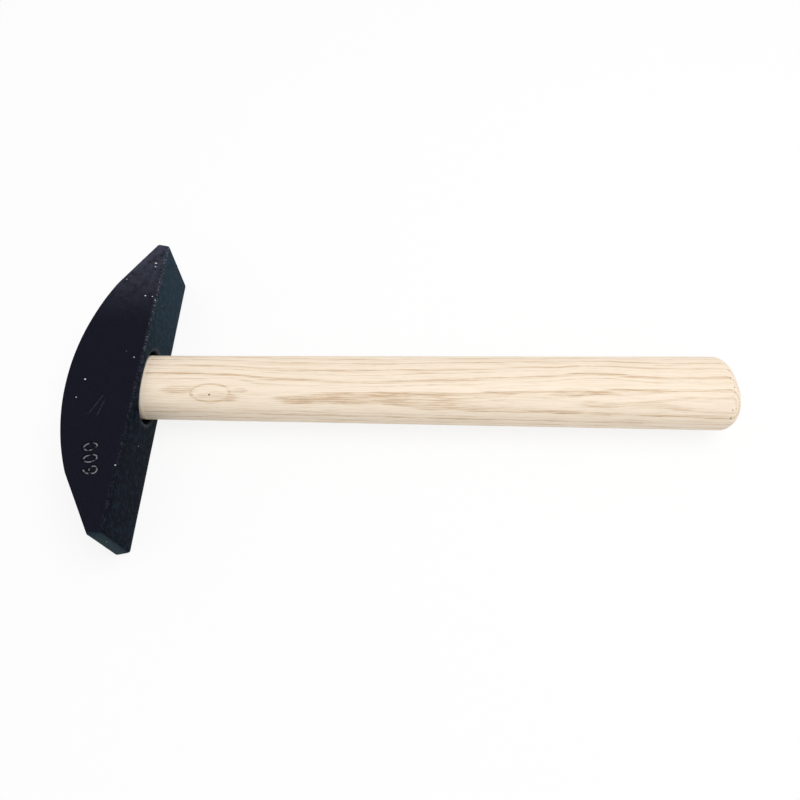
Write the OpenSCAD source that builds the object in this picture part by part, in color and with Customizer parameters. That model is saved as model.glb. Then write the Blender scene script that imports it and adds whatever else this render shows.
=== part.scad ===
// Scythe peening hammer: a forged head with two narrow cross peens on a wedged ash handle.
// X runs along the handle towards its butt, Y along the head, Z up from the cheek it lies on.
// The origin is on that cheek, under the middle of the eye. Sizes are in millimetres.

/* [Head] */
// Length of the flat underside, from peen to peen
head_length = 141; // [125:1:160]
// Height from the underside to the top of the crown
head_height = 29.8; // [28:0.1:33]
// Thickness from cheek to cheek
head_thickness = 30; // [28:0.5:36]
// Radius of the arched crown
crown_radius = 114; // [105:1:130]
// Distance from the middle of the head to each knee, where the arch gives way to a straight flank
crown_reach = 47; // [44:1:50]
// Height of each peen face
peen_height = 5.4; // [4:0.1:8]
// How far each peen face leans out past the underside
peen_lean = 1.1; // [0.2:0.1:2]
// Chamfer along the edges of the underside and the flanks
edge_chamfer = 0.8; // [0.4:0.1:1]
// Chamfer along the rim of the crown
crown_chamfer = 1.1; // [1.1:0.1:1.6]
// Chamfer on the corners of each peen face
corner_chamfer = 1.8; // [0.8:0.1:2.5]

/* [Eye] */
// Length of the eye at its mouths, along the head
eye_mouth_length = 35.2; // [33:0.1:37]
// Width of the eye at its mouths, across the head
eye_mouth_width = 21.4; // [21.4:0.1:22.4]
// Length of the eye at its waist
eye_waist_length = 28.6; // [26:0.1:29]
// Width of the eye at its waist
eye_waist_width = 19.6; // [18.5:0.1:20.5]
// How sharply the eye flares from its waist: 1 is a straight cone, more is a bell
eye_flare = 1.6; // [1.2:0.1:2.4]
// Chamfer round each mouth of the eye
eye_rim = 0.7; // [0.3:0.1:1]

/* [Handle] */
// Length from the underside of the head to the end of the butt
grip_length = 266.5; // [230:0.5:320]
// Width of the handle where it enters the head
neck_width = 29.6; // [28.8:0.1:32]
// Thickness of the handle where it enters the head
neck_thickness = 21.2; // [20.6:0.1:21.3]
// Width of the handle at its butt
butt_width = 35.9; // [30:0.1:42]
// Thickness of the handle at its butt
butt_thickness = 24.7; // [22:0.1:29]
// Length of the dome at the end of the butt
dome_length = 8.9; // [6:0.1:12]
// Fullness of the dome: 2 is an ellipse, more is squarer
dome_fullness = 2.15; // [2:0.05:3]
// Fullness of the oval section: 2 is an ellipse, more is squarer
oval_fullness = 2.3; // [2:0.05:3]

/* [Wedges] */
// Depth of the saw kerf in the end of the handle
kerf_depth = 21; // [19.5:0.5:24]
// Width of the saw kerf
kerf_width = 1.2; // [1.1:0.1:1.6]
// Depth to which the wooden wedge is driven
wood_wedge_depth = 18.5; // [17:0.5:19]
// Thickness of the wooden wedge at the crown
wood_wedge_head = 4.2; // [3:0.1:5]
// Thickness of the wooden wedge at its thin edge
wood_wedge_edge = 1; // [0.6:0.1:1]
// Depth to which the steel wedge is driven
steel_wedge_depth = 15; // [12:0.5:16]
// Width of the steel wedge, across the eye
steel_wedge_width = 14; // [10:0.5:15]
// Thickness of the steel wedge at the crown
steel_wedge_head = 3.4; // [2.5:0.1:4]
// Thickness of the steel wedge at its sharp edge
steel_wedge_edge = 0.5; // [0.4:0.1:1]
// Rows of barbs on the steel wedge
barb_rows = 3; // [1:1:4]
// How far each barb stands out
barb_height = 0.25; // [0.1:0.05:0.3]
// How far the trimmed end of the handle stands above the crown
trim_height = 0.6; // [0.2:0.1:1.5]

/* [Hidden] */

$fn = 180;
// Facets round an oval section, and rings along the eye, the tenon and the dome
oval_sides = 64;
eye_rings = 14;
dome_rings = 12;
// Gap between the tenon and the eye, so that the two are close but not merged
seat_gap = 0.05;
// Plain overshoot for shapes that cut or are trimmed
over = 2;

underside_x = head_height / 2;
crown_x = -head_height / 2;
crown_centre_x = crown_x + crown_radius;
axis_z = head_thickness / 2;
butt_x = underside_x + grip_length;
slab_reach = head_length + head_height;

// Corners of the head's side view at the +Y end
knee = [crown_centre_x - sqrt(pow(crown_radius, 2) - pow(crown_reach, 2)), crown_reach];
peen_top = [underside_x - peen_height, head_length / 2 + peen_lean];
peen_foot = [underside_x, head_length / 2];
flank_run = peen_top - knee;
flank_angle = atan2(flank_run.x, -flank_run.y);
peen_angle = atan2(peen_height, peen_lean);

// Half sizes of the eye at a height x: a waist in the middle, a bell each way, a chamfered rim
function bell(x) = pow(abs(x) / underside_x, eye_flare);
function rim(x) = max(0, abs(x) - (underside_x - eye_rim));
function flared(waist, mouth, x) = waist / 2 + (mouth - waist) / 2 * bell(x);
function eye_half(x) = [
    flared(eye_waist_length, eye_mouth_length, x) + rim(x),
    flared(eye_waist_width, eye_mouth_width, x) + rim(x)
];

// Half sizes of the wood in the eye: spread to fill it above the waist, and the plain neck below it
function tenon_half(x) = x < 0
    ? [
        flared(eye_waist_length, eye_mouth_length, x) - seat_gap,
        flared(eye_waist_width, eye_mouth_width, x) - seat_gap
    ]
    : [
        flared(eye_waist_length - 2 * seat_gap, neck_width, x),
        flared(eye_waist_width - 2 * seat_gap, neck_thickness, x)
    ];

// Half sizes of the grip: a straight taper from neck to butt
function taper(x) = (x - underside_x) / (grip_length - dome_length);
function grip_half(x) = [
    neck_width + (butt_width - neck_width) * taper(x),
    neck_thickness + (butt_thickness - neck_thickness) * taper(x)
] / 2;

// Stations for loft(): [x, half size along Y, half size along Z]
function station(x, half) = [x, half[0], half[1]];
function steps(from, to, count) = [for (i = [0:count]) from + (to - from) * i / count];
function dome_station(a) = station(
    butt_x - dome_length * (1 - sin(a)),
    grip_half(butt_x - dome_length) * pow(1 - pow(sin(a), dome_fullness), 1 / dome_fullness)
);

eye_stations = [
    for (x = concat(
        [crown_x - over],
        steps(crown_x + eye_rim, underside_x - eye_rim, eye_rings),
        [underside_x + over]
    )) station(x, eye_half(x))
];
handle_stations = concat(
    [for (x = steps(crown_x - over, underside_x, eye_rings)) station(x, tenon_half(x))],
    [for (x = steps(underside_x + grip_length / 8, butt_x - dome_length, 4)) station(x, grip_half(x))],
    [for (a = steps(90 / dome_rings, 90 - 90 / dome_rings, dome_rings - 2)) dome_station(a)],
    [dome_station(88.5)]
);

function signed_power(value, power) = sign(value) * pow(abs(value), power);
function oval_ring(s) = [
    for (i = [0:oval_sides - 1])
        let (a = 360 * i / oval_sides, p = 2 / oval_fullness)
        [s[0], s[1] * signed_power(cos(a), p), axis_z + s[2] * signed_power(sin(a), p)]
];

// Skins a row of oval sections that stand across X
module loft(stations) {
    n = oval_sides;
    last = len(stations) - 1;
    points = [for (s = stations) each oval_ring(s)];
    sides = [
        for (j = [0:last - 1], i = [0:n - 1])
            let (k = (i + 1) % n, a = j * n, b = a + n)
            each [[a + i, b + i, b + k], [a + i, b + k, a + k]]
    ];
    caps = [[for (i = [0:n - 1]) i], [for (i = [n - 1:-1:0]) last * n + i]];
    polyhedron(points, concat(sides, caps));
}

// Everything behind a flat face through a point, with chamfered edges at both cheeks
module faced_slab(point, angle, chamfer) {
    section = [
        [-slab_reach, 0], [-chamfer, 0], [0, chamfer],
        [0, head_thickness - chamfer], [-chamfer, head_thickness], [-slab_reach, head_thickness]
    ];
    translate([point.x, point.y, 0])
        rotate([0, 0, angle])
            rotate([90, 0, 0])
                linear_extrude(height = 2 * slab_reach, center = true)
                    polygon(section);
}

// The disc whose rim is the crown, chamfered at both cheeks
module crown_disc() {
    r = crown_radius;
    t = head_thickness;
    c = crown_chamfer;
    translate([crown_centre_x, 0, 0])
        rotate_extrude()
            polygon([[0, 0], [r - c, 0], [r, c], [r, t - c], [r - c, t], [0, t]]);
}

// The end of the head at +Y: its flank and its peen face
module peen_end() {
    intersection() {
        faced_slab(knee, flank_angle, edge_chamfer);
        faced_slab(peen_foot, peen_angle, corner_chamfer);
    }
}

module forging() {
    intersection() {
        crown_disc();
        faced_slab([underside_x, 0], 0, edge_chamfer);
        peen_end();
        mirror([0, 1, 0]) peen_end();
    }
}

// What is trimmed off above the crown: the wood and the wedges end in a curve just proud of it
module above_trim() {
    difference() {
        translate([crown_x - head_height, -head_length / 2, -over])
            cube([head_height + over, head_length, head_thickness + 2 * over]);
        translate([crown_centre_x, 0, -2 * over])
            cylinder(r = crown_radius + trim_height, h = head_thickness + 4 * over);
    }
}

// A wedge seen along Y, with its thickness along Z, as wide as the head
module wood_wedge_blank() {
    taper = (wood_wedge_head - wood_wedge_edge) / wood_wedge_depth;
    top = wood_wedge_head / 2 + over * taper / 2;
    edge = wood_wedge_edge / 2;
    start_x = crown_x - over;
    end_x = crown_x + wood_wedge_depth;
    translate([0, 0, axis_z])
        rotate([90, 0, 0])
            linear_extrude(height = head_length / 2, center = true)
                polygon([[start_x, top], [end_x, edge], [end_x, -edge], [start_x, -top]]);
}

// One face of the barbed wedge, from the crown to its edge: each barb ramps out and steps back in
function barbed_face() =
    let (
        row = steel_wedge_depth / (barb_rows + 1),
        slope = (steel_wedge_head - steel_wedge_edge) / 2 / steel_wedge_depth
    )
    concat(
        [[crown_x - over, steel_wedge_head / 2 + over * slope]],
        [
            for (i = [1:barb_rows])
                let (half = steel_wedge_head / 2 - row * i * slope)
                each [[crown_x + row * i, half - barb_height], [crown_x + row * i, half + barb_height]]
        ],
        [[crown_x + steel_wedge_depth, steel_wedge_edge / 2]]
    );

module steel_wedge_blank() {
    face = barbed_face();
    back = [for (i = [len(face) - 1:-1:0]) [face[i].x, -face[i].y]];
    translate([0, 0, axis_z])
        linear_extrude(height = steel_wedge_width, center = true)
            polygon(concat(face, back));
}

module kerf() {
    translate([crown_x - over, -head_length / 4, axis_z - kerf_width / 2])
        cube([over + kerf_depth, head_length / 2, kerf_width]);
}

module hammer_head() {
    color([0.11, 0.12, 0.15])
        difference() {
            forging();
            loft(eye_stations);
        }
}

module handle() {
    color([0.88, 0.76, 0.60])
        difference() {
            loft(handle_stations);
            above_trim();
            kerf();
            wood_wedge_blank();
            steel_wedge_blank();
        }
}

module wooden_wedge() {
    color([0.72, 0.50, 0.30])
        difference() {
            intersection() {
                wood_wedge_blank();
                loft(handle_stations);
            }
            above_trim();
            steel_wedge_blank();
        }
}

module steel_wedge() {
    color([0.55, 0.56, 0.58])
        difference() {
            steel_wedge_blank();
            above_trim();
        }
}

hammer_head();
handle();
wooden_wedge();
steel_wedge();
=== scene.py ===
"""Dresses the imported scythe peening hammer: a painted forged head on a wedged ash handle."""

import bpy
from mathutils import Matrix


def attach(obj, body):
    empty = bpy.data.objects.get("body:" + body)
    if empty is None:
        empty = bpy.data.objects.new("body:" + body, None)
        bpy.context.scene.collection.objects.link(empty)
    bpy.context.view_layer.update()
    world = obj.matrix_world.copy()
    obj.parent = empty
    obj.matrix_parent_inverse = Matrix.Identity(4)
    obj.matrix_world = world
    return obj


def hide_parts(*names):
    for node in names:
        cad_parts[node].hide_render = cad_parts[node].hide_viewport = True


bl_info = {
    "name": "Scythe Peening Hammer",
    "version": (1, 0, 0),
    "blender": (4, 5, 0),
    "location": "3D View > Sidebar > Hammer",
    "description": "Builds a scythe peening hammer over its fixed frame, in a plain studio",
    "category": "Add Mesh",
}

import functools
import math

import bmesh
import bpy
from mathutils import Matrix, Vector, noise

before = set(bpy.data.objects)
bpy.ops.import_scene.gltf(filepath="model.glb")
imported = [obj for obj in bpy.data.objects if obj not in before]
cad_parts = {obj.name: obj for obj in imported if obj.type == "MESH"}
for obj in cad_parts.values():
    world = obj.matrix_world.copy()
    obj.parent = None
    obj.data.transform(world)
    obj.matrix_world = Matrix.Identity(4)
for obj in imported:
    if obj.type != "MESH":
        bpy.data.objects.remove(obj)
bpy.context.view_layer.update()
MM = 0.001
WORK = "hammer_work"


def length(name, description, millimetres):
    """A size that a user may change, kept in metres."""
    return bpy.props.FloatProperty(
        name=name, description=description, default=millimetres * MM,
        unit="LENGTH", subtype="DISTANCE", precision=5,
    )


def number(name, description, default):
    return bpy.props.FloatProperty(name=name, description=description, default=default)


def tint(name, description, default):
    return bpy.props.FloatVectorProperty(
        name=name, description=description, default=default,
        size=3, min=0, max=1, subtype="COLOR",
    )


class HeadSettings(bpy.types.PropertyGroup):
    """Sizes and colours of the forged head."""

    length: length("Length", "Flat underside, from peen to peen", 141)
    height: length("Height", "From the underside to the top of the crown", 29.8)
    thickness: length("Thickness", "From cheek to cheek", 30)
    crown_radius: length("Crown radius", "Radius of the arched crown", 114)
    crown_reach: length("Crown reach", "From the middle of the head to each knee", 47)
    peen_height: length("Peen height", "Height of each peen face", 5.4)
    peen_lean: length("Peen lean", "How far each peen face leans out", 1.1)
    crown_edge: length("Crown edge", "Rounding between the crown and the cheeks", 0.7)
    under_edge: length("Underside edge", "Rounding between the underside and the cheeks", 0.75)
    peen_edge: length("Peen edge", "Rounding along each peen face", 0.7)
    peen_corner: length("Peen corner", "Rounding of the near corners of each peen face", 0.8)
    far_corner: length("Far corner", "Rounding of the far corners of each peen face", 1.5)
    dents: length("Dents", "Depth of the forged unevenness", 0.16)
    stamp_depth: length("Stamp depth", "Depth of the stamped weight figure", 0.34)
    stamp_height: length("Stamp height", "Height of the stamped weight figure", 5.1)
    paint: tint("Paint", "Cool black paint of the cheeks", (0.0076, 0.0082, 0.0142))
    paint_light: tint("Rubbed paint", "Paint rubbed thin near the peens", (0.060, 0.065, 0.092))
    # The underside's two tones are painted light and shade, and their blue-green tint is a
    # painted reflection
    under_painted_shade: tint("Underside, dark", "Darkest paint there", (0.0003, 0.0018, 0.0060))
    under_painted_light: tint("Underside, light", "Lightest paint there", (0.016, 0.036, 0.055))
    bare_steel: tint("Bare steel", "Steel where the paint has gone", (0.34, 0.34, 0.37))


class EyeSettings(bpy.types.PropertyGroup):
    """Sizes of the eye through the head."""

    mouth_length: length("Mouth length", "Along the head, at each mouth", 35.2)
    mouth_width: length("Mouth width", "Across the head, at each mouth", 21.4)
    waist_length: length("Waist length", "Along the head, at the waist", 28.6)
    waist_width: length("Waist width", "Across the head, at the waist", 19.6)
    lip: length("Lip", "Rounding of each mouth", 0.7)
    flare: number("Flare", "1 is a straight cone, and more is a bell", 1.6)
    fit: length("Fit", "Gap between the tenon and the eye", 0.05)


class HandleSettings(bpy.types.PropertyGroup):
    """Sizes and colours of the ash handle."""

    grip: length("Grip", "From the underside of the head to the end of the butt", 266.5)
    neck_width: length("Neck width", "Width where the handle enters the head", 29.6)
    neck_thickness: length("Neck thickness", "Thickness where it enters the head", 21.2)
    butt_width: length("Butt width", "Width at the butt", 35.9)
    butt_thickness: length("Butt thickness", "Thickness at the butt", 24.7)
    dome: length("Dome", "Length of the dome at the butt", 8.9)
    dome_fullness: number("Dome fullness", "2 is an ellipse, and more is squarer", 2.15)
    oval_fullness: number("Oval fullness", "2 is an ellipse, and more is squarer", 2.3)
    proud: length("Proud end", "How far the trimmed end stands above the crown", 0.6)
    ring: length("Growth ring", "Spacing of the growth rings", 2.65)
    pale: tint("Late wood", "Pale dense wood between the rings", (0.89, 0.765, 0.615))
    tan: tint("Early wood", "Tan porous wood of the rings", (0.60, 0.425, 0.265))
    pores: tint("Pores", "Open pores and the heart of the knot", (0.30, 0.185, 0.10))


class WedgeSettings(bpy.types.PropertyGroup):
    """Sizes and colours of the two wedges and of the saw kerf that they fill."""

    kerf_depth: length("Kerf depth", "Depth of the saw kerf", 21)
    kerf_width: length("Kerf width", "Width of the saw kerf", 1.2)
    wood_depth: length("Wooden wedge depth", "How far the wooden wedge is driven", 18.5)
    wood_head: length("Wooden wedge head", "Its thickness at the crown", 4.2)
    wood_tip: length("Wooden wedge tip", "Its thickness at its thin end", 1)
    steel_depth: length("Steel wedge depth", "How far the steel wedge is driven", 15)
    steel_width: length("Steel wedge width", "Its width, across the eye", 14)
    steel_head: length("Steel wedge head", "Its thickness at the crown", 3.4)
    steel_tip: length("Steel wedge tip", "Its thickness at its sharp end", 0.5)
    barb: length("Barb", "How far each barb stands out", 0.25)
    wood: tint("Wedge wood", "Pale part of the hardwood wedge", (0.52, 0.33, 0.175))
    wood_dark: tint("Wedge rings", "Dark part of the hardwood wedge", (0.27, 0.145, 0.07))
    steel: tint("Wedge steel", "Bare steel of the barbed wedge", (0.42, 0.42, 0.44))
    rust: tint("Rust", "Thin rust on the barbed wedge", (0.21, 0.085, 0.035))


class StudioSettings(bpy.types.PropertyGroup):
    """Light, floor and camera."""

    floor_size: bpy.props.FloatProperty(
        name="Floor size", description="Side of the floor", default=6, unit="LENGTH",
    )
    floor: tint("Floor", "Colour of the floor", (0.90, 0.90, 0.90))
    floor_white: number("Floor white", "Share of the floor that shows as plain white", 0.84)
    room: number("Room light", "Strength of the light from all round", 0.62)
    key: bpy.props.FloatProperty(
        name="Key lamp", description="Power of the large soft lamp", default=6.1, unit="POWER",
    )
    lens: number("Lens", "Focal length in millimetres for a 36 mm sensor", 26.672)


SETTINGS = {
    "hammer_head": HeadSettings,
    "hammer_eye": EyeSettings,
    "hammer_handle": HandleSettings,
    "hammer_wedges": WedgeSettings,
    "hammer_studio": StudioSettings,
}


class Wire:
    """A shader socket that can stand in a Python expression."""

    def __init__(self, paint, socket):
        self.paint = paint
        self.socket = socket

    def work(self, operation, other=0.0, turned=False):
        """One sum with this socket; turned puts the other side first."""
        sides = (other, self) if turned else (self, other)
        wide = any(isinstance(s, Wire) and s.socket.type == "VECTOR" for s in sides)
        if wide:
            sides = tuple((s,) * 3 if isinstance(s, (int, float)) else s for s in sides)
        kind = "ShaderNodeVectorMath" if wide else "ShaderNodeMath"
        return self.paint.put(kind, {"operation": operation}, {0: sides[0], 1: sides[1]})

    def __add__(self, other):
        return self.work("ADD", other)

    def __sub__(self, other):
        return self.work("SUBTRACT", other)

    def __rsub__(self, other):
        return self.work("SUBTRACT", other, turned=True)

    def __mul__(self, other):
        return self.work("MULTIPLY", other)

    def __truediv__(self, other):
        return self.work("DIVIDE", other)

    def __pow__(self, other):
        return self.work("POWER", other)

    def __abs__(self):
        return self.work("ABSOLUTE")

    __radd__ = __add__
    __rmul__ = __mul__

    def root(self):
        return self.work("SQRT")

    def other(self, name):
        """Another output of the same node."""
        return Wire(self.paint, self.socket.node.outputs[name])


class Paint:
    """The nodes of a material, or of the world."""

    def __init__(self, name, shelf=None):
        self.block = (bpy.data.materials if shelf is None else shelf).new(name)
        self.block.use_nodes = True
        self.tree = self.block.node_tree
        self.tree.nodes.clear()

    def put(self, kind, settings=None, sockets=None, out=0):
        """Adds a node: its settings are set first, then its sockets, by name or number."""
        node = self.tree.nodes.new(kind)
        for key, value in (settings or {}).items():
            if key == "curve":
                self._curve(node, value)
            else:
                setattr(node, key, value)
        for key, value in (sockets or {}).items():
            if isinstance(value, Wire):
                self.tree.links.new(value.socket, node.inputs[key])
            else:
                node.inputs[key].default_value = value
        return Wire(self, node.outputs[out]) if len(node.outputs) else None

    @staticmethod
    def _curve(node, points):
        curve = node.mapping.curves[0]
        while len(curve.points) < len(points):
            curve.points.new(0.5, 0.5)
        for point, place in zip(curve.points, points):
            point.location = place
        node.mapping.update()

    def place(self):
        """Where a point is on the object, in millimetres."""
        here = self.put("ShaderNodeTexCoord", out="Object")
        return here * (1 / MM)

    def split(self, place):
        parts = self.put("ShaderNodeSeparateXYZ", None, {0: place})
        return [parts.other(axis) for axis in "XYZ"]

    def join(self, x, y, z):
        return self.put("ShaderNodeCombineXYZ", None, {0: x, 1: y, 2: z})

    def grain(self, place, scale, detail=3.0, rough=0.55, warp=0.0):
        """Noise from 0 to 1, with scale in cycles to the millimetre."""
        return self.put(
            "ShaderNodeTexNoise", None,
            {"Vector": place, "Scale": scale, "Detail": detail,
             "Roughness": rough, "Distortion": warp},
        )

    def fibres(self, x, y, z, along, across, detail, rough):
        """Noise drawn out along the handle, with each scale in cycles to the millimetre."""
        return self.grain(self.join(x * along, y * across, z * across), 1.0, detail, rough)

    def rise(self, value, low, high):
        """0 below low, 1 above high, and smooth between; low may be the larger."""
        return self.put(
            "ShaderNodeMapRange", {"interpolation_type": "SMOOTHSTEP"},
            {"Value": value, "From Min": low, "From Max": high},
        )

    def blend(self, share, first, second):
        """A colour from first to second."""
        sides = [(*s, 1) if not isinstance(s, Wire) else s for s in (first, second)]
        return self.put(
            "ShaderNodeMix", {"data_type": "RGBA"}, {0: share, 6: sides[0], 7: sides[1]}, 2
        )

    def finish(self, sockets, height, depth, strength):
        """The surface: one Principled shader, with a bump of that depth in millimetres."""
        bump = self.put(
            "ShaderNodeBump", None,
            {"Strength": strength, "Distance": depth * MM, "Height": height},
        )
        shader = self.put("ShaderNodeBsdfPrincipled", None, {**sockets, "Normal": bump})
        self.put("ShaderNodeOutputMaterial", None, {"Surface": shader})
        return self.block


def larger(first, second):
    return first.work("MAXIMUM", second)


def largest(masks):
    return functools.reduce(larger, masks)


def oval_gap(x, y, centre, reach):
    """The square of how far a point is out, which is 1 on the oval of that reach."""
    return ((x - centre[0]) / reach[0]) ** 2 + ((y - centre[1]) / reach[1]) ** 2


# Placed marks on the near cheek: x, y, half length and half width in millimetres
CHEEK_SPECKS = (
    (10.56, 59.33, 0.62, 0.30),
    (10.73, 57.17, 0.34, 0.26),
    (9.36, 39.78, 0.38, 0.34),
    (12.58, 39.38, 0.30, 0.24),
    (14.20, 37.29, 0.28, 0.24),
    (-6.85, -5.03, 0.42, 0.34),
    (-8.39, -13.71, 0.26, 0.22),
    (11.05, 6.25, 0.28, 0.24),
    (13.95, -43.82, 0.36, 0.22),
)
# Scratches on the near cheek: both ends and the half width, in millimetres
CHEEK_SCRATCHES = (
    (2.6, -12.1, -2.0, -22.0, 0.16),
    (3.6, -14.0, 1.4, -24.5, 0.12),
)
# Fixed tones of the paint; the peens' blue-green pair is a painted reflection with a painted
# highlight, as on the underside
PEEN_DARK, PEEN_LIGHT = (0.005, 0.015, 0.021), (0.018, 0.036, 0.046)
# STAMP_SHADE is painted shade on the lips around the stamped strokes
STAMP_SHADE = (0.002, 0.002, 0.003)
SPECK_LIGHT = (0.72, 0.72, 0.76)
# Just outside the eye's mouth: half length and half width in millimetres
EYE_RIM = (19.4, 12.4)
# Black paint mirrors next to nothing of the white floor
PAINT_SPECULAR = 0.012


def speck_mask(paint, x, y):
    """1 on each placed speck of the near cheek."""
    return largest(
        paint.rise(oval_gap(x, y, speck[:2], speck[2:]).root(), 1.15, 0.6)
        for speck in CHEEK_SPECKS
    )


def scratch_line(paint, x, y, x0, y0, x1, y1, half):
    """1 along one scratch of the near cheek, fading at its ends."""
    reach = math.hypot(x1 - x0, y1 - y0)
    run_x, run_y = (x1 - x0) / reach, (y1 - y0) / reach
    along = (x - x0) * run_x + (y - y0) * run_y
    across = abs((x - x0) * run_y - (y - y0) * run_x)
    ends = paint.rise(along, 0.0, 2.0) * paint.rise(along, reach, reach - 3.0)
    return paint.rise(across, half * 1.8, half * 0.4) * ends


def painted_steel(head):
    """Satin black paint over forged steel, rubbed along the edges and chipped in places, with
    painted light, painted reflection and painted shade on the underside, the peens and the
    stamped figure.
    """
    paint = Paint("painted_steel")
    place = paint.place()
    x, y, z = paint.split(place)
    base, thick, tip = head.height / MM / 2, head.thickness / MM, head.length / MM / 2
    clouds = paint.grain(place, 0.05, 3)
    mottle = paint.grain(place, 0.42, 6, 0.62, 0.4)
    fine = paint.grain(place, 2.2, 4, 0.6)
    # 1 on the near cheek, on the underside and on both peens
    top = paint.rise(z, thick - 1.1, thick - 0.5)
    under = paint.rise(x, base - 1.2, base - 0.3)
    peen = paint.rise(abs(y), tip - 0.5, tip + 0.4)

    near_tip = paint.rise(y, 22.0, 72.0) * paint.rise(mottle + clouds * 0.5, 0.45, 0.95)
    cheek = paint.blend(near_tip * 0.85, tuple(head.paint), tuple(head.paint_light))
    cheek = paint.blend(paint.rise(fine, 0.56, 0.74) * 0.25, cheek, tuple(head.paint_light))
    # Painted light on the underside: darker towards -y and lighter towards +y, broken by the
    # mottle, in blue-green tones of painted reflection
    light = paint.rise(y, -45.0, 70.0) * 0.75 + paint.rise(mottle, 0.42, 0.60) * 0.45 - 0.16
    underside_painted_light = paint.blend(light, tuple(head.under_painted_shade), tuple(head.under_painted_light))
    colour = paint.blend(under * (1 - top * 0.6), cheek, underside_painted_light)
    # The peen faces: a blue-green painted reflection, with a lighter cloud as a painted
    # highlight
    band = paint.blend(paint.rise(clouds, 0.3, 0.7), PEEN_DARK, PEEN_LIGHT)
    colour = paint.blend(peen, colour, band)

    near_edge = ((x - base) ** 2 + (z - thick) ** 2).root()
    far_edge = ((x - base) ** 2 + z ** 2).root()
    rim = largest((
        paint.rise(near_edge, 1.7, 0.6),
        paint.rise(far_edge, 1.5, 0.5) * 0.5,
        paint.rise(abs(y), tip - 0.6, tip + 0.1) * 0.45,
    ))
    flecks = paint.rise(paint.grain(place, 1.5, 3, 0.6), 0.50, 0.68)
    worn = rim * flecks * (paint.rise(y, -30.0, 45.0) * 0.32 + 0.08)
    eye_gap = oval_gap(y, z, (0, thick / 2), EYE_RIM).root()
    worn = larger(worn, under * paint.rise(eye_gap, 1.05, 0.93) * 0.10)
    crumbs = paint.put(
        "ShaderNodeTexVoronoi", None, {"Vector": place, "Scale": 0.16, "Randomness": 1.0}
    )
    dust = paint.rise(crumbs, 0.055, 0.03) * paint.rise(clouds, 0.42, 0.55)
    marks = larger(speck_mask(paint, x, y) * top, dust * 0.5)
    scratches = largest(scratch_line(paint, x, y, *scratch) for scratch in CHEEK_SCRATCHES)
    rubs = scratches * top * paint.rise(fine, 0.40, 0.62)
    stamp = paint.put("ShaderNodeAttribute", {"attribute_name": "stamp"}, None, "Fac")
    # The stamp's middle lines are partly paint worn to bare steel and partly a painted
    # highlight; its lips get painted shade
    line = paint.rise(stamp, 0.10, 0.75) * paint.rise(paint.grain(place, 0.7, 2), 0.42, 0.56)
    stamp_painted_shade = paint.rise(stamp, -0.1, -0.9)
    colour = paint.blend(worn, colour, tuple(head.bare_steel))
    colour = paint.blend(rubs * 0.16, colour, tuple(head.bare_steel))
    colour = paint.blend(line * 0.62, colour, tuple(head.bare_steel))
    colour = paint.blend(stamp_painted_shade * 0.8, colour, STAMP_SHADE)
    colour = paint.blend(marks, colour, SPECK_LIGHT)

    roughness = mottle * 0.22 + 0.40 - worn * 0.10
    height = mottle * 0.55 + fine * 0.20 + paint.grain(place, 0.12, 2) * 0.5 - worn * 0.25
    return paint.finish(
        {
            "Base Color": colour,
            "Roughness": roughness,
            "Metallic": worn * 0.7,
            "Specular IOR Level": PAINT_SPECULAR,
        },
        height, 0.16, 0.6,
    )


# Slow drift of the growth rings: share of the length below, and drift in millimetres
RING_DRIFT = (
    (0.055, -1.30), (0.175, -1.05), (0.235, -0.30), (0.290, 0.20), (0.410, 0.80),
    (0.500, 0.30), (0.620, -0.05), (0.700, -0.40), (0.755, -0.95), (0.820, -0.25),
    (0.890, 0.25), (1.000, 0.0),
)
# The range of the drift's curve and the length that it covers, in millimetres
DRIFT_LOW, DRIFT_HIGH = -2.0, 2.0
DRIFT_RUN = 280
# How far the rings lean from flat, and the depth of the first one in millimetres
RING_LEAN = math.radians(28)
RING_START = 10.2
# Added to the count of rings, so that it stays above 0 all through the handle
RING_COUNT = 40.1
# The axis of the handle over the ground, in millimetres
AXIS = 15
# The knot, the streaks at both ends of it, its heart and the butt's pores: x and y of each
# middle, and its reach each way, in millimetres
KNOT, KNOT_REACH = (44.0, -7.9), (8.3, 3.7)
FRONT_STREAK, FRONT_REACH = (30.5, -6.9), (8.5, 2.0)
BACK_STREAK, BACK_REACH = (56.5, -6.9), (4.5, 1.6)
KNOT_HEART, HEART_REACH = (43.7, -8.7), (0.42, 0.36)
BUTT_PORES = ((272.6, -16.25), (272.8, -13.66), (274.8, -3.8), (274.4, 1.3))
PORE_REACH = (0.35, 0.30)
PIT_SHADE = (0.045, 0.026, 0.016)
# Pale colour of the painted highlight on the handle's shoulder
SHOULDER_HIGHLIGHT = (0.93, 0.84, 0.70)


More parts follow.
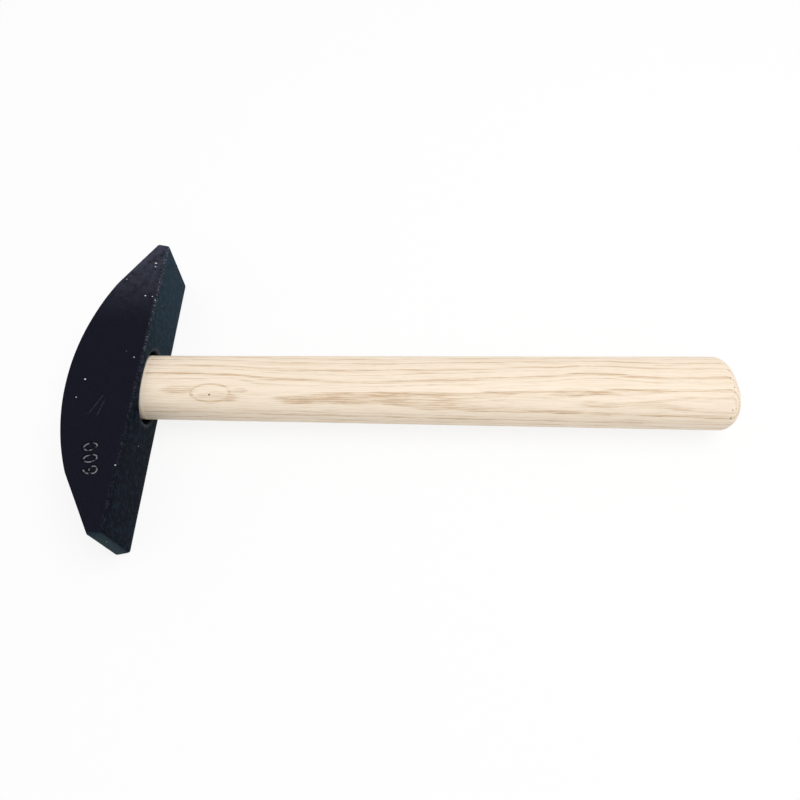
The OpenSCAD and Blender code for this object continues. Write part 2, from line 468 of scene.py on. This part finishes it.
def ash(handle):
    """Smooth ash: leaning growth rings, open pores along the grain and one small knot, with a
    painted highlight at the shoulder and painted shade into the eye.
    """
    paint = Paint("ash_wood")
    place = paint.place()
    x, y, z = paint.split(place)
    z = z - AXIS
    wander = paint.fibres(x, y, z, 0.018, 0.10, 2, 0.5) - 0.5
    ripple = paint.fibres(x, y, z, 0.06, 0.5, 2, 0.5) - 0.5

    span = DRIFT_HIGH - DRIFT_LOW
    points = [(share, (drift - DRIFT_LOW) / span) for share, drift in RING_DRIFT]
    bend = paint.put(
        "ShaderNodeFloatCurve", {"curve": points}, {"Factor": 1.0, "Value": x / DRIFT_RUN}
    )
    drift = (bend * span + DRIFT_LOW) * paint.rise(y, -8.0, -1.0)
    depth = y * -math.sin(RING_LEAN) + z * math.cos(RING_LEAN)
    above = paint.rise(z, 3.0, 6.0)
    knot_gap = oval_gap(x, y + ripple * 1.2, KNOT, KNOT_REACH)
    knot = (knot_gap * -0.5).work("EXPONENT") * above
    rings = depth - drift + wander * 1.5 + ripple * 0.42 + knot * 0.45
    beat = ((rings - RING_START) / (handle.ring / MM) + RING_COUNT).work("FRACT")

    threads = paint.fibres(x, y, z, 0.055, 2.4, 4, 0.62)
    hairs = paint.fibres(x, y, z, 0.16, 5.5, 2, 0.5)
    patch = paint.fibres(x, y, z, 0.03, 0.22, 3, 0.5)
    early = paint.rise(beat, 0.0, 0.07) * paint.rise(beat, 0.40, 0.09)
    late = paint.rise(beat, 0.46, 0.52) * paint.rise(beat, 0.66, 0.54) * 0.45
    broken = paint.rise(threads, 0.40, 0.60)
    band = larger(early, late) * (broken * 0.74 + 0.26)
    band = band * (paint.rise(patch, 0.24, 0.52) * 0.7 + 0.3)
    knot_out = knot_gap.root()
    inside = paint.rise(knot_out, 1.15, 0.85) * above
    band = band * (inside * -0.6 + 1)
    outline = paint.rise(abs(knot_out - 1.0), 0.15, 0.02)
    streaks = paint.rise(
        larger(1.15 - oval_gap(x, y, FRONT_STREAK, FRONT_REACH),
               1.1 - oval_gap(x, y, BACK_STREAK, BACK_REACH)),
        0.0, 0.9,
    )
    figure = larger(outline * (broken * 0.85 + 0.15), streaks * broken * 0.8) * above
    wisps = paint.rise(threads, 0.47, 0.66) * (patch * 0.7 + 0.22)
    dashes = paint.rise(hairs, 0.55, 0.68) * (band * 0.9 + 0.20 + figure * 0.7)
    share = larger(band * 0.95, figure * 0.85) + wisps * 0.55
    colour = paint.blend(share, tuple(handle.pale), tuple(handle.tan))
    colour = paint.blend(dashes * 0.60, colour, tuple(handle.pores))

    pits = paint.rise(oval_gap(x, y, KNOT_HEART, HEART_REACH).root(), 1.1, 0.7) * above
    for pore in BUTT_PORES:
        hole = paint.rise(oval_gap(x, y, pore, PORE_REACH).root(), 1.1, 0.6)
        pits = larger(pits, hole * above * 0.85)
    colour = paint.blend(pits, colour, PIT_SHADE)
    # A pale band at the underside of the head, a painted highlight where the cut shoulder
    # catches the light, and painted shade from there into the eye
    shoulder_highlight = paint.rise(x, 16.0, 15.4) * paint.rise(x, 14.2, 14.9)
    colour = paint.blend(shoulder_highlight * 0.55, colour, SHOULDER_HIGHLIGHT)
    eye_painted_shade = paint.rise(x, 14.4, 12.0) * paint.rise(threads, 0.35, 0.65)
    colour = paint.blend(eye_painted_shade * 0.7, colour, tuple(handle.pores))

    roughness = threads * 0.16 + band * 0.08 + 0.40
    height = threads * 0.30 - dashes * 0.6 - band * 0.25 - pits * 1.5
    return paint.finish(
        {"Base Color": colour, "Roughness": roughness, "Specular IOR Level": 0.40},
        height, 0.10, 0.45,
    )


def wedge_wood(wedges):
    """Sawn hardwood: fine dark rings and short pores, with grain along the wedge."""
    paint = Paint("wedge_wood")
    place = paint.place()
    x, y, z = paint.split(place)
    fibre = paint.grain(paint.join(x * 0.12, y * 2.0, z * 2.6), 1.0, 4, 0.6, 0.2)
    wander = paint.grain(place, 0.12, 2)
    beat = (y * 0.55 + z * 0.35 + wander * 1.6 + 20).work("FRACT")
    band = paint.rise(abs(beat - 0.5), 0.30, 0.02)
    share = band * 0.55 + paint.rise(fibre, 0.42, 0.70) * 0.5
    colour = paint.blend(share, tuple(wedges.wood), tuple(wedges.wood_dark))
    return paint.finish(
        {"Base Color": colour, "Roughness": fibre * 0.25 + 0.48, "Specular IOR Level": 0.25},
        fibre - band * 0.4, 0.12, 0.6,
    )


FILED_STEEL = (0.60, 0.60, 0.61)


def wedge_steel(wedges):
    """Bare steel, filed flush in one direction, with thin rust in its low places."""
    paint = Paint("wedge_steel")
    place = paint.place()
    x, y, z = paint.split(place)
    filing = paint.grain(paint.join(x * 1.2, y * 6.0, z * 0.35), 1.0, 4, 0.65)
    clouds = paint.grain(place, 0.45, 4, 0.6)
    rust = paint.rise(clouds, 0.50, 0.68) * 0.75
    bright = paint.blend(paint.rise(filing, 0.4, 0.7), tuple(wedges.steel), FILED_STEEL)
    colour = paint.blend(rust, bright, tuple(wedges.rust))
    return paint.finish(
        {
            "Base Color": colour,
            "Roughness": filing * 0.25 + 0.26 + rust * 0.35,
            "Metallic": 1 - rust * 0.85,
        },
        filing * 0.7 + clouds * 0.4, 0.06, 0.6,
    )


def keep(name, mesh):
    """A new object with that mesh, in the scene."""
    piece = bpy.data.objects.new(name, mesh)
    bpy.context.scene.collection.objects.link(piece)
    return piece


def skin(name, rings, poles=(None, None)):
    """A closed mesh through rings of points. A pole closes an end to a point, and None flat."""
    form = bmesh.new()
    rows = [[form.verts.new(p) for p in ring] for ring in rings]
    count = len(rows[0])
    for low, high in zip(rows, rows[1:]):
        for i in range(count):
            k = (i + 1) % count
            form.faces.new((low[i], high[i], high[k], low[k]))
    for row, pole, turn in ((rows[0], poles[0], 1), (rows[-1], poles[1], -1)):
        if pole is None:
            form.faces.new(row[::turn])
        else:
            tip = form.verts.new(pole)
            for i in range(count):
                form.faces.new((tip, row[i], row[(i + 1) % count]))
    bmesh.ops.recalc_face_normals(form, faces=form.faces)
    mesh = bpy.data.meshes.new(name)
    form.to_mesh(mesh)
    form.free()
    return keep(name, mesh)


def settle(piece):
    """Makes the piece's modifiers part of its mesh."""
    graph = bpy.context.evaluated_depsgraph_get()
    mesh = bpy.data.meshes.new_from_object(piece.evaluated_get(graph))
    piece.modifiers.clear()
    piece.data = mesh
    mesh.name = piece.name


def cut_away(piece, cutter):
    """Takes the cutter's shape out of the piece, and the cutter out of the scene."""
    step = piece.modifiers.new("cut", "BOOLEAN")
    step.operation = "DIFFERENCE"
    step.solver = "EXACT"
    step.object = cutter
    settle(piece)
    bpy.data.objects.remove(cutter)


def smooth(piece, degrees):
    """Smooth shading, with sharp edges where faces meet at more than that angle."""
    for face in piece.data.polygons:
        face.use_smooth = True
    piece.data.set_sharp_from_angle(angle=math.radians(degrees))


def spread(low, high, step):
    """Even places from low to high, about step apart."""
    count = max(1, round((high - low) / step))
    return [low + (high - low) * i / count for i in range(count + 1)]


def round_in(distance, radius):
    """How far a rounded edge has drawn in, at that distance from its face."""
    if distance >= radius:
        return 0.0
    return radius - math.sqrt(radius ** 2 - (radius - max(distance, 0.0)) ** 2)


def crown_at(head, y):
    """The crown or flank above a place along the head."""
    centre = head.crown_radius - head.height / 2
    reach = abs(y)
    if reach <= head.crown_reach:
        return centre - math.sqrt(head.crown_radius ** 2 - reach ** 2)
    knee = centre - math.sqrt(head.crown_radius ** 2 - head.crown_reach ** 2)
    peen_x = head.height / 2 - head.peen_height
    peen_y = head.length / 2 + head.peen_lean
    return knee + (peen_x - knee) * (reach - head.crown_reach) / (peen_y - head.crown_reach)


# The stamped figure, in millimetres: its middle line starts here, runs this way, with this step
STAMP_START = (4.75, -45.95)
STAMP_RUN = (-0.214, 0.977)
STAMP_STEP = 5.15
# Where its strokes can be on the cheek, and the part of the head that has a fine mesh for them
STAMP_X, STAMP_Y = (-3.0, 10.5), (-50.0, -31.0)
STAMP_BAND = (-49.5, -31.5)
# A stroke in section, in millimetres: half its width, the half width of its middle line, drawn
# light as worn paint and as a painted highlight, and how far out, how wide and how high the lip
# is that the stamp pushed up, which is drawn dark as painted shade
GROOVE_HALF, LINE_HALF = 0.50, 0.27
LIP_PLACE, LIP_WIDTH, LIP_HEIGHT = 0.66, 0.20, 0.07


def stroke_lines(height):
    """The stamped figure 600 as lines on the near cheek, in metres."""
    half = height / 2
    wide = half * 0.60

    def loop(centre, rise, reach):
        return [
            (reach * math.cos(math.radians(a)), centre + rise * math.sin(math.radians(a)))
            for a in range(0, 361, 15)
        ]

    six = [
        loop(-half * 0.42, half * 0.58, wide),
        [(-wide, -half * 0.35), (-wide * 0.86, half * 0.25), (-wide * 0.35, half * 0.78),
         (wide * 0.45, half)],
    ]
    nought = [loop(0, half, wide)]
    lines = []
    run = Vector(STAMP_RUN).normalized()
    up = Vector((-run.y, run.x))
    for place, figure in enumerate((six, nought, nought)):
        base = Vector(STAMP_START) * MM + run * (STAMP_STEP * MM * place)
        for stroke in figure:
            lines.append([base + run * a + up * b for a, b in stroke])
    return lines


def gap_to(lines, point):
    """Distance from a point to the nearest stroke."""
    best = math.inf
    for line in lines:
        for start, end in zip(line, line[1:]):
            run = end - start
            share = max(0.0, min(1.0, (point - start).dot(run) / run.length_squared))
            best = min(best, (start + run * share - point).length)
    return best


# Places near each end of the head where its outline changes fast, in millimetres from the end
END_STEPS = (0, 0.08, 0.22, 0.42, 0.7, 1.1, 1.8, 2.6, 3.6)
FINE_STEP, COARSE_STEP = 0.25, 2.2
# Faces across the near cheek, up each side and across the far cheek, and in each rounding
NEAR_FACES, SIDE_FACES, FAR_FACES, CORNER_FACES = 74, 10, 12, 4
# Forged unevenness: each scale in cycles to the metre, and its share
DENT_WAVES = ((55, 0.6), (150, 0.4))


class HAMMER_OT_head(bpy.types.Operator):
    """Forge the head: rounded, slightly uneven, with its flared eye and its stamped weight"""

    bl_idname = "hammer.head"
    bl_label = "Forged head"
    bl_options = {"REGISTER", "UNDO"}

    def stations(self, head):
        """Places along the head: fine under the stamp and at the rounded ends."""
        end = head.length / 2 + head.peen_lean
        places = [end - t * MM for t in END_STEPS]
        places += [-p for p in places]
        low, high = (place * MM for place in STAMP_BAND)
        inner = end - END_STEPS[-1] * MM
        places += spread(low, high, FINE_STEP * MM)[1:-1]
        places += spread(-inner, low, COARSE_STEP * MM)[1:]
        places += spread(high, inner, COARSE_STEP * MM)[:-1]
        return sorted(places)

    def section(self, head, place):
        """The outline of the head across one place, as a ring of points."""
        end = head.length / 2 + head.peen_lean
        away = end - abs(place)
        draw = round_in(away, head.peen_edge)
        low = round_in(away, head.far_corner)
        high = head.thickness - round_in(away, head.peen_corner)
        top = Vector((crown_at(head, place), place))
        foot = Vector((head.height / 2, place * (head.length / 2) / end))
        run = foot - top
        wide = run.length - draw * 2
        run.normalize()
        top = top + run * draw

        def corner(u, z, radius, start):
            turns = [start - 90 * i / CORNER_FACES for i in range(CORNER_FACES + 1)]
            turns = [math.radians(turn) for turn in turns]
            return [(u + radius * math.cos(a), z + radius * math.sin(a)) for a in turns]

        limit = min(wide, high - low) * 0.45
        crown = min(head.crown_edge, limit)
        under = min(head.under_edge, limit)
        outline = corner(crown, high - crown, crown, 180)
        outline += [(u, high) for u in self.between(crown, wide - under, NEAR_FACES)]
        outline += corner(wide - under, high - under, under, 90)
        outline += [(wide, z) for z in self.between(high - under, low + under, SIDE_FACES)]
        outline += corner(wide - under, low + under, under, 0)
        outline += [(u, low) for u in self.between(wide - under, crown, FAR_FACES)]
        outline += corner(crown, low + crown, crown, -90)
        outline += [(0, z) for z in self.between(low + crown, high - crown, SIDE_FACES)]
        return [(*(top + run * u), z) for u, z in outline]

    @staticmethod
    def between(start, end, count):
        return [start + (end - start) * i / count for i in range(1, count)]

    def wear(self, piece, head):
        """Presses the unevenness and the stamped figure into the faces, and stores in the stamp
        attribute a painted highlight along each stroke and painted shade on its lips.
        """
        lines = stroke_lines(head.stamp_height)
        mesh = piece.data
        stamp = mesh.attributes.new("stamp", "FLOAT", "POINT")
        moves = []
        for vertex in mesh.vertices:
            here = vertex.co
            wave = sum(noise.noise(here * scale) * share for scale, share in DENT_WAVES)
            push = head.dents * (0.62 + 0.38 * wave)
            stamp_highlight_and_shade = 0.0
            on_cheek = here.z > head.thickness - 0.02 * MM
            x, y = here.x / MM, here.y / MM
            if on_cheek and STAMP_X[0] < x < STAMP_X[1] and STAMP_Y[0] < y < STAMP_Y[1]:
                gap = gap_to(lines, here.xy) / MM
                groove = max(0.0, 1 - (gap / GROOVE_HALF) ** 2)
                lip = math.exp(-(((gap - LIP_PLACE) / LIP_WIDTH) ** 2))
                push += head.stamp_depth * groove - LIP_HEIGHT * MM * lip
                # Positive on each stroke's middle line for a painted highlight, negative on its
                # lips for painted shade
                stamp_highlight_and_shade = math.exp(-((gap / LINE_HALF) ** 2)) - lip * 0.9
            moves.append((vertex.index, here - vertex.normal * push, stamp_highlight_and_shade))
        for index, spot, stamp_highlight_and_shade in moves:
            mesh.vertices[index].co = spot
            stamp.data[index].value = stamp_highlight_and_shade

    def execute(self, context):
        head = context.scene.hammer_head
        rings = [self.section(head, place) for place in self.stations(head)]
        piece = skin("forged_head", rings)
        cut_away(piece, eye_cutter(context.scene))
        self.wear(piece, head)
        smooth(piece, 32)
        piece.data.materials.clear()
        piece.data.materials.append(painted_steel(head))
        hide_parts("hammer_head")
        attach(piece, "root")
        return {"FINISHED"}


OVAL_POINTS = 96


def oval(handle, half_y, half_z):
    """An oval across the handle, as pairs of distances from its axis."""
    power = 2 / handle.oval_fullness
    ring = []
    for i in range(OVAL_POINTS):
        a = math.tau * i / OVAL_POINTS
        c, s = math.cos(a), math.sin(a)
        ring.append((
            math.copysign(half_y * abs(c) ** power, c),
            math.copysign(half_z * abs(s) ** power, s),
        ))
    return ring


def follow_crown(head, x, y):
    """Bends a place in the upper half of the eye to follow the arch of the crown."""
    share = min(1.0, max(0.0, -x / (head.height / 2))) ** 2
    return x + (crown_at(head, y) + head.height / 2) * share


def oval_ring(scene, x, half_y, half_z):
    """An oval across the handle or the eye, in its place."""
    head = scene.hammer_head
    return [
        Vector((follow_crown(head, x, y), y, head.thickness / 2 + z))
        for y, z in oval(scene.hammer_handle, half_y, half_z)
    ]


def eye_cutter(scene):
    """The eye as a solid: a waist, a bell each way and a rounded lip at each mouth."""
    eye = scene.hammer_eye
    mouth = scene.hammer_head.height / 2
    lip_start = mouth - eye.lip
    places = spread(-lip_start, lip_start, 2.2 * MM)
    lips = [lip_start + eye.lip * math.sin(math.radians(a)) for a in (20, 40, 60, 80)]
    beyond = mouth + 2 * MM
    places = sorted(places + lips + [-p for p in lips] + [beyond, -beyond])
    rings = []
    for x in places:
        bell = (min(abs(x), mouth) / mouth) ** eye.flare
        over = abs(x) - lip_start
        rim = 0.0
        if 0 < over < eye.lip:
            rim = eye.lip - math.sqrt(eye.lip ** 2 - over ** 2)
        elif over >= eye.lip:
            rim = eye.lip + (abs(x) - mouth)
        rings.append(oval_ring(
            scene, x,
            (eye.waist_length + (eye.mouth_length - eye.waist_length) * bell) / 2 + rim,
            (eye.waist_width + (eye.mouth_width - eye.waist_width) * bell) / 2 + rim,
        ))
    return skin(WORK, rings)


def prism(outline, axis, low, high):
    """A straight bar: its outline in x and the other direction, swept along y or z."""
    def at(x, side, along):
        return (x, along, side) if axis == "y" else (x, side, along)

    rings = [[Vector(at(x, side, along)) for x, side in outline] for along in (low, high)]
    return skin(WORK, rings)


def wedge_room(scene):
    """The spaces in the end of the handle: kerf, wooden wedge and barbed steel wedge."""
    wedges = scene.hammer_wedges
    head = scene.hammer_head
    top = -head.height / 2
    above = top - 3 * MM
    axis = head.thickness / 2
    slope = (wedges.wood_head - wedges.wood_tip) / 2 / wedges.wood_depth
    wide = wedges.wood_head / 2 + (top - above) * slope
    tip = wedges.wood_tip / 2
    end = top + wedges.wood_depth
    wood = [(above, axis + wide), (end, axis + tip), (end, axis - tip), (above, axis - wide)]
    slit = wedges.kerf_width / 2
    floor = top + wedges.kerf_depth
    kerf = [(above, axis + slit), (floor, axis + slit),
            (floor, axis - slit), (above, axis - slit)]
    slope = (wedges.steel_head - wedges.steel_tip) / 2 / wedges.steel_depth
    face = [(above, wedges.steel_head / 2 + (top - above) * slope)]
    for row in (1, 2, 3):
        x = wedges.steel_depth * row / 4
        half = wedges.steel_head / 2 - x * slope
        face += [(top + x, half - wedges.barb), (top + x, half + wedges.barb)]
    face.append((top + wedges.steel_depth, wedges.steel_tip / 2))
    steel = face + [(x, -side) for x, side in reversed(face)]
    reach = 30 * MM
    half_width = wedges.steel_width / 2
    return [
        prism(kerf, "y", -reach, reach),
        prism(wood, "y", -reach, reach),
        prism(steel, "z", axis - half_width, axis + half_width),
    ]


# The sawn end: rings of its flat as shares of its oval, then its worn rim as how deep each ring
# lies and how far it draws in, in millimetres
END_SHARES = (0.2, 0.4, 0.6, 0.8, 0.94)
END_RIM = ((0.0, 0.35), (0.06, 0.16), (0.2, 0.05), (0.45, 0.0))
TENON_STEP, GRIP_STEP = 2.0, 2.6
DOME_ANGLES = range(6, 90, 6)
# Hand-shaped unevenness of the grip: cycles to the metre along and across, and half its depth
GRIP_WAVES = Vector((28, 40, 40))
GRIP_DEPTH = 0.07


class HAMMER_OT_handle(bpy.types.Operator):
    """Shape the ash handle: domed butt, oval grip, and a tenon spread by the wedges"""

    bl_idname = "hammer.handle"
    bl_label = "Ash handle"
    bl_options = {"REGISTER", "UNDO"}

    def halves(self, scene, x):
        """Half width and half thickness of the wood at a place along the handle."""
        handle, eye = scene.hammer_handle, scene.hammer_eye
        mouth = scene.hammer_head.height / 2
        neck = (handle.neck_width, handle.neck_thickness)
        if x >= mouth:
            share = (x - mouth) / (handle.grip - handle.dome)
            butt = (handle.butt_width, handle.butt_thickness)
            return [(n + (b - n) * share) / 2 for n, b in zip(neck, butt)]
        bell = (min(abs(x), mouth) / mouth) ** eye.flare
        waist = (eye.waist_length - 2 * eye.fit, eye.waist_width - 2 * eye.fit)
        ends = neck
        if x < 0:
            ends = (eye.mouth_length - 2 * eye.fit, eye.mouth_width - 2 * eye.fit)
        return [(w + (e - w) * bell) / 2 for w, e in zip(waist, ends)]

    def execute(self, context):
        scene = context.scene
        handle, head = scene.hammer_handle, scene.hammer_head
        mouth = head.height / 2
        crown_end = -mouth - handle.proud
        dome_start = mouth + handle.grip - handle.dome
        rings = []
        sides = self.halves(scene, crown_end)
        for share in END_SHARES:
            rings.append(oval_ring(scene, crown_end, sides[0] * share, sides[1] * share))
        for x, draw in END_RIM:
            rings.append(oval_ring(
                scene, crown_end + x * MM, sides[0] - draw * MM, sides[1] - draw * MM
            ))
        places = spread(-mouth, mouth, TENON_STEP * MM)
        places += spread(mouth, dome_start, GRIP_STEP * MM)[1:]
        rings += [oval_ring(scene, x, *self.halves(scene, x)) for x in places]
        end = self.halves(scene, dome_start)
        fullness = handle.dome_fullness
        for a in DOME_ANGLES:
            s = math.sin(math.radians(a))
            scale = (1 - s ** fullness) ** (1 / fullness)
            rings.append(oval_ring(
                scene, dome_start + handle.dome * s, end[0] * scale, end[1] * scale
            ))
        axis = head.thickness / 2
        poles = (Vector((crown_end, 0, axis)), Vector((dome_start + handle.dome, 0, axis)))
        piece = skin("ash_handle", rings, poles)
        for vertex in piece.data.vertices:
            if vertex.co.x > mouth + 1 * MM:
                wave = noise.noise(vertex.co * GRIP_WAVES)
                vertex.co -= vertex.normal * (GRIP_DEPTH * MM * (1 + wave))
        for room in wedge_room(scene):
            cut_away(piece, room)
        smooth(piece, 38)
        piece.data.materials.clear()
        piece.data.materials.append(ash(handle))
        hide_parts("handle")
        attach(piece, "root")
        return {"FINISHED"}


class HAMMER_OT_wedges(bpy.types.Operator):
    """Finish the two wedges that spread the tenon: one of sawn wood and one of barbed steel"""

    bl_idname = "hammer.wedges"
    bl_label = "Wedges"
    bl_options = {"REGISTER", "UNDO"}

    def execute(self, context):
        wedges = context.scene.hammer_wedges
        finishes = {"wooden_wedge": wedge_wood(wedges), "steel_wedge": wedge_steel(wedges)}
        for node, finish in finishes.items():
            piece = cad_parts[node]
            if not piece.material_slots:
                raise RuntimeError(f"{node} has no material slot")
            for slot in piece.material_slots:
                slot.material = finish
        return {"FINISHED"}


# Lines of the floor's mesh between its edges, in metres
FLOOR_LINES = (-0.5, -0.2, 0.0, 0.2, 0.5)
# The lamp, in metres
LAMP_PLACE, LAMP_AIM, LAMP_SIZE = (0.42, 0.02, 1.02), (0.12, 0.0, 0.01), 0.75
# The camera's place in metres, and where right, down and ahead in its picture point
CAMERA_PLACE = (0.114475, -0.135284, 0.24829)
CAMERA_RIGHT = (0.99901784, -0.01259939, 0.04248067)
CAMERA_DOWN = (0.00966292, -0.87369734, -0.48637392)
CAMERA_AHEAD = (0.04324326, 0.48630671, -0.87271748)


class HAMMER_OT_stage(bpy.types.Operator):
    """Set up the plain studio: a white floor, soft light and the camera"""

    bl_idname = "hammer.stage"
    bl_label = "Studio"
    bl_options = {"REGISTER", "UNDO"}

    @staticmethod
    def white_rays(paint):
        """1 for what the camera sees straight, in a gloss or through glass."""
        path = paint.put("ShaderNodeLightPath")
        return largest(
            path.other(f"Is {kind} Ray") for kind in ("Camera", "Glossy", "Transmission")
        )

    def floor(self, studio):
        half = studio.floor_size / 2
        grid = [-half, *FLOOR_LINES, half]
        points = [(x, y, 0) for y in grid for x in grid]
        wide = len(grid)
        faces = [
            (r * wide + c, r * wide + c + 1, (r + 1) * wide + c + 1, (r + 1) * wide + c)
            for r in range(wide - 1) for c in range(wide - 1)
        ]
        mesh = bpy.data.meshes.new("floor")
        mesh.from_pydata(points, [], faces)
        piece = keep("floor", mesh)
        paint = Paint("floor")
        matt = paint.put("ShaderNodeBsdfDiffuse", None, {"Color": (*studio.floor, 1)})
        white = paint.put("ShaderNodeEmission", None, {"Color": (1, 1, 1, 1), "Strength": 1.0})
        share = self.white_rays(paint) * studio.floor_white
        both = paint.put("ShaderNodeMixShader", None, {0: share, 1: matt, 2: white})
        paint.put("ShaderNodeOutputMaterial", None, {"Surface": both})
        mesh.materials.append(paint.block)

    def room(self, scene, studio):
        paint = Paint("studio", bpy.data.worlds)
        soft, white = (
            paint.put("ShaderNodeBackground", None, {"Color": (1, 1, 1, 1), "Strength": power})
            for power in (studio.room, 1.0)
        )
        share = self.white_rays(paint)
        both = paint.put("ShaderNodeMixShader", None, {0: share, 1: soft, 2: white})
        paint.put("ShaderNodeOutputWorld", None, {"Surface": both})
        scene.world = paint.block

    def lamp(self, scene, studio):
        data = bpy.data.lights.new("key", "AREA")
        data.shape = "SQUARE"
        data.size = LAMP_SIZE
        data.energy = studio.key
        lamp = bpy.data.objects.new("key", data)
        lamp.location = LAMP_PLACE
        aim = Vector(LAMP_AIM) - Vector(LAMP_PLACE)
        lamp.rotation_euler = aim.to_track_quat("-Z", "Y").to_euler()
        scene.collection.objects.link(lamp)

    def camera(self, scene, studio):
        data = bpy.data.cameras.new("camera")
        data.sensor_width = 36
        data.lens = studio.lens
        data.clip_start = 0.01
        camera = bpy.data.objects.new("camera", data)
        axes = (Vector(CAMERA_RIGHT), -Vector(CAMERA_DOWN), -Vector(CAMERA_AHEAD))
        turn = Matrix(axes).transposed().to_4x4()
        turn.translation = CAMERA_PLACE
        camera.matrix_world = turn
        scene.collection.objects.link(camera)
        scene.camera = camera

    def execute(self, context):
        scene = context.scene
        studio = scene.hammer_studio
        scene.view_settings.view_transform = "Standard"
        self.floor(studio)
        self.room(scene, studio)
        self.lamp(scene, studio)
        self.camera(scene, studio)
        return {"FINISHED"}


class HAMMER_PT_panel(bpy.types.Panel):
    """The hammer's pieces and settings in the sidebar"""

    bl_idname = "HAMMER_PT_panel"
    bl_label = "Peening Hammer"
    bl_space_type = "VIEW_3D"
    bl_region_type = "UI"
    bl_category = "Hammer"

    def draw(self, context):
        for operator in OPERATORS:
            self.layout.operator(operator.bl_idname)
        for name in SETTINGS:
            group = getattr(context.scene, name)
            box = self.layout.box()
            for key in group.__annotations__:
                box.prop(group, key)


OPERATORS = (HAMMER_OT_stage, HAMMER_OT_head, HAMMER_OT_handle, HAMMER_OT_wedges)
CLASSES = (*SETTINGS.values(), *OPERATORS, HAMMER_PT_panel)


def register():
    for kind in CLASSES:
        bpy.utils.register_class(kind)
    for name, group in SETTINGS.items():
        setattr(bpy.types.Scene, name, bpy.props.PointerProperty(type=group))


def unregister():
    for name in SETTINGS:
        delattr(bpy.types.Scene, name)
    for kind in reversed(CLASSES):
        bpy.utils.unregister_class(kind)


def main():
    """Registers the add-on and makes every piece."""
    register()
    bpy.ops.hammer.stage()
    bpy.ops.hammer.head()
    bpy.ops.hammer.handle()
    bpy.ops.hammer.wedges()


if __name__ == "__main__":
    main()
